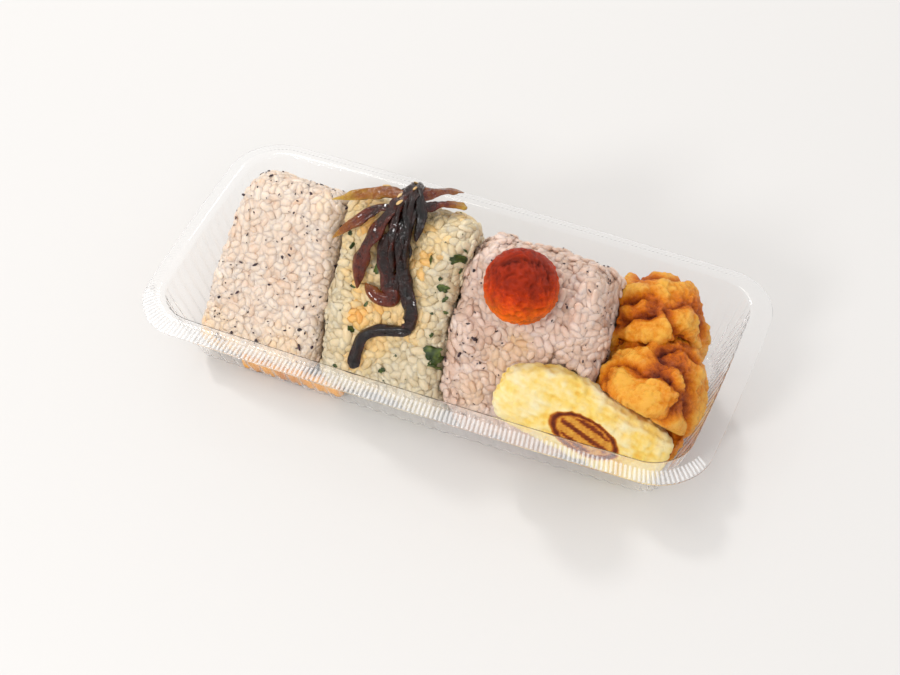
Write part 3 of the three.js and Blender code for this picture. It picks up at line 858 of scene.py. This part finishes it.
def makeOmelette():
    piece = remeshed("omelette", "rolled_omelette", omelette["voxel"], 4, makeEggMaterial())
    # its left end is drawn out and that end's upper corner cut back
    for vert in piece.data.vertices:
        along, across, _ = onOmelette(vert.co / mm)
        cut = omelette["cornerCut"] * shareBetween(-along, 12, 30) * shareBetween(across, -5, 12)
        moved = Vector((-omelette["endStretch"] * shareBetween(-along, 10, 30), -cut, 0))
        vert.co += omeletteFrame() @ moved * mm

    def skin(place):
        _, across, through = onOmelette(place)
        soft = 0.5 * lump(place, 9, 1) + 0.7 * lump(place, 3.4, 2) + 0.6 * lump(place, 1.8, 3)
        folds = 0.16 * math.sin(across * 2.6 + 2.5 * lump(place, 8, 4))
        pressed = shareBetween(1.08 - markAt(place), 0, 0.15) if through > 0 else 0
        return soft * (1 - 0.5 * pressed) + folds * (1 - pressed) - omelette["markDepth"] * pressed

    shaped(piece, skin)

    def browned(place):
        # 0 to 1: the oval's rim, the bars in it and its faint middle, and a few pale spots elsewhere
        along, across, through = onOmelette(place)
        away = markAt(place) + 0.05 * lump(place, 2, 5)
        if through <= 0 or away >= 1.3:
            return omelette["spotTone"] * shareBetween(lump(place, 5, 9), 0.55, 0.8)
        rim = math.exp(-((away - omelette["rimAt"]) / omelette["rimWidth"]) ** 2)
        wave = math.sin(across * omelette["barsAcross"] + along * omelette["barsAlong"])
        bars = shareBetween(wave, 0.1, 0.6) * shareBetween(0.8 - away, 0, 0.08)
        middle = shareBetween(1 - away, 0, 0.1)
        return max(rim, omelette["barTone"] * bars, omelette["markTone"] * middle)

    addLayer(piece, "browned", [browned(vert.co / mm) for vert in piece.data.vertices])
    return settle(restOnTray(piece), "omelette", slot="egg")


makeOmelette()
print("omelette made")


# fried chicken: two battered pieces with a craggy crust

chicken = dict(
    voxel=0.5, foldSize=14, foldHigh=3.6, lobeSize=6.5, lobeHigh=1.2, nubSize=2.4, nubHigh=0.6,
    gritSize=1.3, gritHigh=0.6, bend=3, overhang=math.radians(22), wallGap=0.5, pressedMost=1.6,
    patterns=[(5, 8, 0.88), (1.25, 5, 0.8)],
)


def roomInTray(place):
    # how far a place in mm is from the tray's leaning side wall
    share = (place.z - tray["footHeight"]) / (tray["rimTop"] - 3.6)
    inset = tray["footInset"] + (tray["wallTopInset"] - tray["footInset"]) * share
    return min(tray["halfX"] - inset - abs(place.x), tray["halfY"] - inset - abs(place.y))


def beforeOmelette(place):
    # how far a place in mm is behind the slope that rises from the omelette's top edge
    _, across, through = onOmelette(place)
    across, through = across - 0.88 * omelette["halfWidth"], through + 0.6 * omelette["halfThickness"]
    turn = chicken["overhang"]
    return across * math.cos(turn) - through * math.sin(turn) if through > -3 else 10


def makeCrustMaterial():
    # starch crust fried in oil with an oily sparkle; its amber gold knobs and red brown clefts come
    # from height as painted light and shade, over patches of uneven browning
    material, tree, (patches, crumbs) = foodMaterial("friedCrust", chicken["patterns"])
    high = addNode(tree, "ShaderNodeAttribute", {"attribute_name": "high"}).outputs["Fac"]
    uneven = addNode(tree, "ShaderNodeMath", {"operation": "MULTIPLY_ADD", 1: 6.5, 2: -3.05}, {
        0: patches.outputs["Fac"]})
    # painted light and shade: the higher the crust, the more golden; deep clefts go dark red brown
    level = addNode(tree, "ShaderNodeMath", {"operation": "ADD"}, {0: high, 1: uneven.outputs[0]})
    share = addNode(tree, "ShaderNodeMapRange", {"From Min": -3.2, "From Max": 2.2}, {
        "Value": level.outputs[0]})
    colour = addNode(tree, "ShaderNodeValToRGB", links={"Fac": share.outputs[0]}, stops=[
        (0.02, "360c03"), (0.2, "782a03"), (0.36, "a84a04"), (0.52, "ce6506"), (0.72, "ec8b12"),
        (1, "fcb948")])
    addSurface(tree, colour.outputs["Color"], crumbs, 1.0, 1.3, {
        "Roughness": 0.22, "IOR": 1.42, "Specular IOR Level": 0.5,
        "Subsurface Weight": 0.1, "Subsurface Scale": 0.0015, "Subsurface Radius": (1.0, 0.45, 0.12),
    })
    return material


def makeChicken(nodeName, name, seed, material):
    piece = remeshed(nodeName, name, chicken["voxel"], 3, material)

    def crust(place):
        bent = place + Vector([lump(place, 7, axis) for axis in (1, 2, 3)]) * chicken["bend"]
        fold = min(abs(lump(bent, chicken["foldSize"], seed)) * 3.2, 1) ** 0.8
        folds = chicken["foldHigh"] * (fold - 0.6)
        lobes = chicken["lobeHigh"] * (nodules(bent, chicken["lobeSize"], seed) - 0.6)
        nubs = chicken["nubHigh"] * (nodules(place, chicken["nubSize"], seed + 1) - 0.5)
        grit = chicken["gritHigh"] * (nodules(place, chicken["gritSize"], seed + 2) - 0.4)
        amount = folds + lobes + nubs + grit
        room = roomInTray(place) - chicken["wallGap"]
        free = min(amount, room)
        pressed = min(0.7 * amount + 0.6, room, chicken["pressedMost"])  # flatter where egg lies on it
        return pressed + (free - pressed) * shareBetween(beforeOmelette(place), 0.8, 5)

    shaped(piece, crust)
    return settle(restOnTray(piece), nodeName, slot="fried_crust")


friedCrust = makeCrustMaterial()
makeChicken("chicken_back", "fried_chicken_back", 21, friedCrust)
makeChicken("chicken_front", "fried_chicken_front", 22, friedCrust)
print("chicken made")


# toppings: specks, green leaf, sesame and sauce

toppings = dict(
    sesame=[  # x, distance down, turn in degrees
        (-20.6, 0.4, 20), (-18.9, -6.4, 80), (-16.5, -1.7, 60), (-11, 19.5, 95), (-9.4, 39, 30),
        (-1.5, 14, 10), (-18.6, 3.2, 85), (-27.5, -3, 20)],
    sesameSize=(3.3, 2.0, 1.0), sesameLift=0.2,
    leaves=[  # x, distance down, length, width, turn in degrees
        (1.8, 48.2, 7.5, 5.2, -25), (3.6, 53.6, 7.5, 4.0, -60), (3.2, 51.0, 5, 4, 10),
        (9.0, 5, 5, 2.4, -50), (-4.6, 15.6, 6, 1.7, 12), (4.2, 13.4, 6.4, 4.4, -25),
        (5.4, 17.4, 2.6, 2, 60),
        (1.3, 24.3, 4.2, 3, 5), (-23.0, 24.5, 2.6, 3.2, 0), (-14.7, 59.5, 3, 1.9, 60),
        (-27.9, 47.8, 3.4, 2.2, -50), (-35.2, 15.2, 2.6, 1.9, 20),
        (-33.7, 19.1, 3.4, 1.4, 25), (-30.6, 33.5, 2.8, 1.0, -15),
        (-24.5, 38, 2.2, 1.2, 80), (-31.1, 62.6, 1.8, 1.5, 0), (0.4, 42, 1.8, 1.4, 30),
        (6.0, 10.0, 3.6, 1.2, -75), (2.2, 28.5, 2.6, 1.8, 40),
        (3.4, 33.0, 1.8, 1.4, 0), (0.2, 21.0, 1.6, 1.2, 50)],
    leafSides=(9, 7), leafLift=0.5, leafWall=0.18, fleckSmall=0.8, fleckAlone=0.6, fleckApart=0.9,
)
sauce = dict(
    drops=11, firstX=-66, apart=3.5, y=-34.4, long=2.5, wide=1.9, high=4.4, lower=0.16, uneven=0.8,
    foot=1.2, voxel=0.6, wallGap=0.6,
)


def firstHit(x, down, trees):
    # the outermost skin below a point above the middle ball, with its normal
    above, foot = onBall(x, down, 14), onBall(x, down, -4)
    hits = [found.ray_cast(above * mm, (foot - above).normalized()) for found in trees]
    hits = [hit for hit in hits if hit[0]]
    return min(hits, key=lambda hit: hit[3])[:2]


def makeSimpleMaterial(name, stops, settings, size):
    # a small topping: its own colours in patches of about so many mm
    material, tree, (tone,) = foodMaterial(name, [(size, 3, 0.5)])
    colour = addNode(tree, "ShaderNodeValToRGB", links={"Fac": tone.outputs["Fac"]}, stops=stops)
    addSurface(tree, colour.outputs["Color"], tone, 0.4, 0.3, settings)
    return material


def treeOf(piece):
    bm = bmesh.new()
    bm.from_mesh(piece.data)
    found = BVHTree.FromBMesh(bm)
    bm.free()
    return found


def makeSpecks(names, name, template, material, small, large):
    # most flecks are small and alone, the others lie in twos and threes that get smaller
    draw = random.Random(31)
    spots = []
    specks = [speck for item in balls if item["node"] in names for speck in item["specks"]]
    for place, normal in specks:
        size = draw.uniform(*(small if draw.random() < toppings["fleckSmall"] else large))
        copies = 1 if draw.random() < toppings["fleckAlone"] else draw.choice((2, 3))
        for copy in range(copies):
            apart = toppings["fleckApart"]
            aside = Vector([draw.gauss(0, apart) for _ in range(3)]) if copy else Vector()
            aside -= normal * aside.dot(normal)
            turn = lying(normal, draw.uniform(0, math.tau), 0.3, draw)
            long, wide = size * draw.uniform(0.9, 1.7), size * draw.uniform(0.5, 0.9)
            spots.append((place + aside, turn, (long, wide, 0.4 + 0.15 * size), 0.5, 0))
            size *= 0.6
    return scatter(name, template, spots, material, slot="rice_speckled")


def makeFleck():
    bm = bmesh.new()
    bmesh.ops.create_icosphere(bm, subdivisions=1, radius=0.5)
    for vert in bm.verts:
        vert.co *= 1 + 0.35 * lump(vert.co, 0.4, 2)
    return toObject(bm, "fleck", None)


def makeSeed():
    # a sesame seed: flat, round at one end and pointed at the other
    bm = bmesh.new()
    bmesh.ops.create_uvsphere(bm, u_segments=12, v_segments=9, radius=0.5)
    for vert in bm.verts:
        along = vert.co.z
        narrow = 1 - 0.45 * (along + 0.5) ** 2
        vert.co = (along, vert.co.x * narrow, vert.co.y * narrow)
    return toObject(bm, "seed", None)


def makeLeaves(trees, material):
    # torn, crumpled bits of green leaf that lie on the middle ball
    across, along = toppings["leafSides"]
    bm = bmesh.new()
    for index, (x, down, length, width, turn) in enumerate(toppings["leaves"]):
        spot, normal = firstHit(x, down, trees)
        facing = normal.to_track_quat("Z", "Y").to_matrix().to_4x4()
        place = Matrix.Translation(spot + normal * toppings["leafLift"] * mm) @ facing
        place = place @ Matrix.Rotation(math.radians(turn), 4, "Z")
        grid = bmesh.ops.create_grid(bm, x_segments=across, y_segments=along, size=1)["verts"]
        for vert in grid:
            u, v = vert.co.x, vert.co.y
            disc = Vector((u * math.sqrt(1 - v * v / 2), v * math.sqrt(1 - u * u / 2), 0))
            angle = math.atan2(disc.y, disc.x)
            ragged = 1 + 0.55 * lump(Vector((math.cos(angle), math.sin(angle), index * 3.7)), 0.45, 4)
            up = 0.35 * lump(Vector((u * 2, v * 2, index)), 1, 6) - 0.25 * disc.length_squared
            spread = Vector((disc.x * length / 2 * ragged, disc.y * width / 2 * ragged, up))
            vert.co = place @ (spread * mm)
    piece = toObject(bm, "green_leaf_bits", material)
    wall = piece.modifiers.new("wall", "SOLIDIFY")
    wall.thickness = toppings["leafWall"] * mm
    applyModifiers(piece)
    return settle(piece, slot="rice_green")


def makeSauce():
    # sauce that has run down between the left ball's foot and the wall, as drops that merge
    bm = bmesh.new()
    draw = random.Random(51)
    for index in range(sauce["drops"]):
        x = sauce["firstX"] + index * sauce["apart"]
        high = sauce["high"] - sauce["lower"] * index + draw.uniform(-sauce["uneven"], sauce["uneven"])
        made = bmesh.ops.create_icosphere(bm, subdivisions=3, radius=mm)["verts"]
        bmesh.ops.scale(bm, verts=made, vec=(sauce["long"], sauce["wide"], high))
        place = Vector((x, sauce["y"], sauce["foot"] + high * 0.7)) * mm
        bmesh.ops.translate(bm, verts=made, vec=place)
    piece = toObject(bm, "sauce", makeSimpleMaterial("soySauceGlaze", [
        (0.3, "e8a53e"), (0.7, "b97426")], {
        "Roughness": 0.12, "IOR": 1.36, "Subsurface Weight": 0.15, "Subsurface Scale": 0.002,
        "Subsurface Radius": (1.0, 0.5, 0.15)}, 6))
    addRemesh(piece, sauce["voxel"])
    applyModifiers(piece)
    for vert in piece.data.vertices:
        vert.co.y += max(sauce["wallGap"] - roomInTray(vert.co / mm), 0) * mm
    return settle(restOnTray(piece), slot="kelp")


middleGrains = bpy.data.objects["rice_middle_grains"]
surfaces = [treeOf(piece) for piece in (kelpPiece, cores["rice_middle"], middleGrains)]
makeSpecks(("rice_left", "rice_right"), "shiso_specks", makeFleck(), makeSimpleMaterial(
    "driedRedShiso", [(0.3, "140b10"), (0.7, "3c1e28")], {"Roughness": 0.5}, 2), (0.5, 1), (1.1, 2))
makeSpecks(("rice_middle",), "leaf_specks", makeFleck(), makeSimpleMaterial(
    "driedGreenLeaf", [(0.3, "20260c"), (0.7, "4c5a22")], {"Roughness": 0.5}, 2),
    (0.4, 0.8), (0.9, 1.6))
makeLeaves(surfaces[1:], makeSimpleMaterial(
    "pickledGreenLeaf", [(0.3, "1b260c"), (0.5, "34431a"), (0.75, "647234")],
    {"Roughness": 0.32, "IOR": 1.4}, 2.5))
seeds = []
for x, down, turn in toppings["sesame"]:
    spot, normal = firstHit(x, down, surfaces)
    turned = lying(normal, math.radians(turn), 0.15, random.Random(x))
    lifted = spot / mm + normal * toppings["sesameLift"]
    seeds.append((lifted, turned, toppings["sesameSize"], 0.5, 0))
scatter("sesame_seeds", makeSeed(), seeds, makeSimpleMaterial(
    "toastedSesame", [(0.3, "b98f52"), (0.7, "dcbc84")], {"Roughness": 0.4}, 2), slot="kelp")
makeSauce()
print("toppings made")
